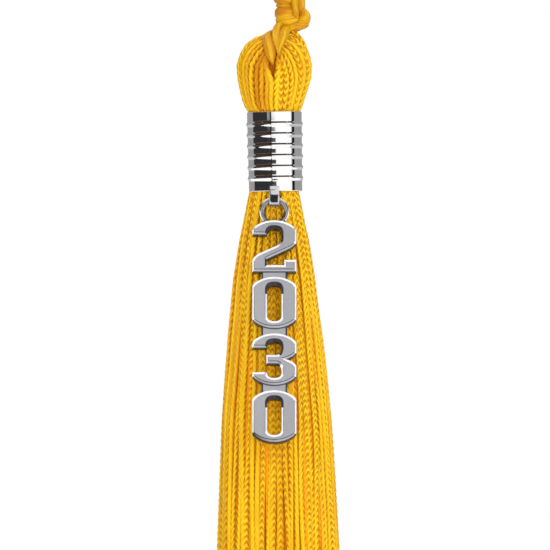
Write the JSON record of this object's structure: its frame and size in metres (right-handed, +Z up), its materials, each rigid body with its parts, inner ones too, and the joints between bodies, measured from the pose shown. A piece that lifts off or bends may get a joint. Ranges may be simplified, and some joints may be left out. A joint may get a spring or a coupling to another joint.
{
  "type": "graduation tassel",
  "caption": "Hanging yarn tassel on a knotted cord loop, with a ribbed metal band round its neck and a year charm that swings on a small hook.",
  "frame": {"origin": "inside top of the hanging cord's loop, where a button or hook carries the tassel", "axes": "+Z up along the hanging tassel, -Y towards the front with the numerals, +X to the right of the numerals"},
  "size_m": [0.0258, 0.0263, 0.3177],
  "materials": {
    "yarn": "golden yellow rayon chainette yarn, soft satin sheen",
    "cord": "golden yellow rayon floss cord, smooth and lustrous",
    "band_metal": "polished chrome-bright plating",
    "charm_metal": "satin silver-tone plating with bright bevelled edges"
  },
  "bodies": {
    "tassel": {"yarn_skein": "yarn", "cord_knot": "cord", "hanging_loop": "cord", "ribbed_band": "band_metal", "charm_hook": "band_metal"},
    "charm": {"year_charm": "charm_metal"}
  },
  "joints": [
    {"name": "charm_swing", "type": "hinge", "parent": "tassel", "child": "charm", "pos_m": [0, -0.0053, -0.11833], "axis": [-1, 0, 0], "range_deg": [0, 150]}
  ]
}
